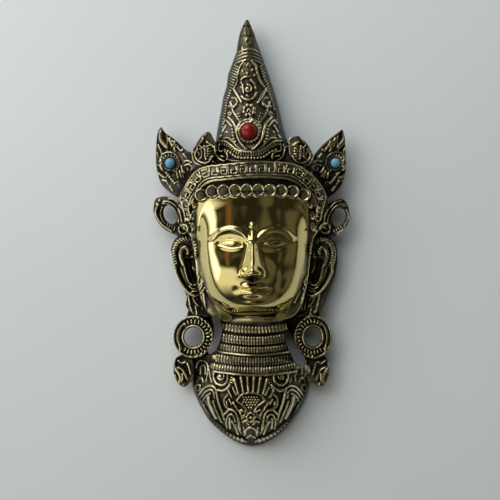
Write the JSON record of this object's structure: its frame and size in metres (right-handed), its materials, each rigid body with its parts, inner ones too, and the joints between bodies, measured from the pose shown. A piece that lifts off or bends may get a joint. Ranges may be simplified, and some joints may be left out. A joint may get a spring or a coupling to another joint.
{
  "type": "wall mask",
  "caption": "Hollow cast brass wall mask of a crowned head with a pointed crown, long ears, ear discs, ringed neck and chest shield, set with three cabochon stones.",
  "frame": {"origin": "middle of the outline on the plane that the mask lies on, under its back", "axes": "+Y along the mask towards the tip of the crown, +X to the right of someone who looks at the face with the crown up, +Z out of the face"},
  "size_m": [0.1026, 0.224, 0.0409],
  "materials": {
    "cast_brass": "antiqued in the recesses, worn bright on the ridges, mirror polished on the face",
    "coral_cabochon_stone": "polished red coral",
    "turquoise_cabochon_left_stone": "polished turquoise",
    "turquoise_cabochon_right_stone": "polished turquoise"
  },
  "bodies": {
    "root": {"mask_body": "cast_brass", "coral_cabochon": "coral_cabochon_stone", "turquoise_cabochon_left": "turquoise_cabochon_left_stone", "turquoise_cabochon_right": "turquoise_cabochon_right_stone"}
  },
  "joints": []
}
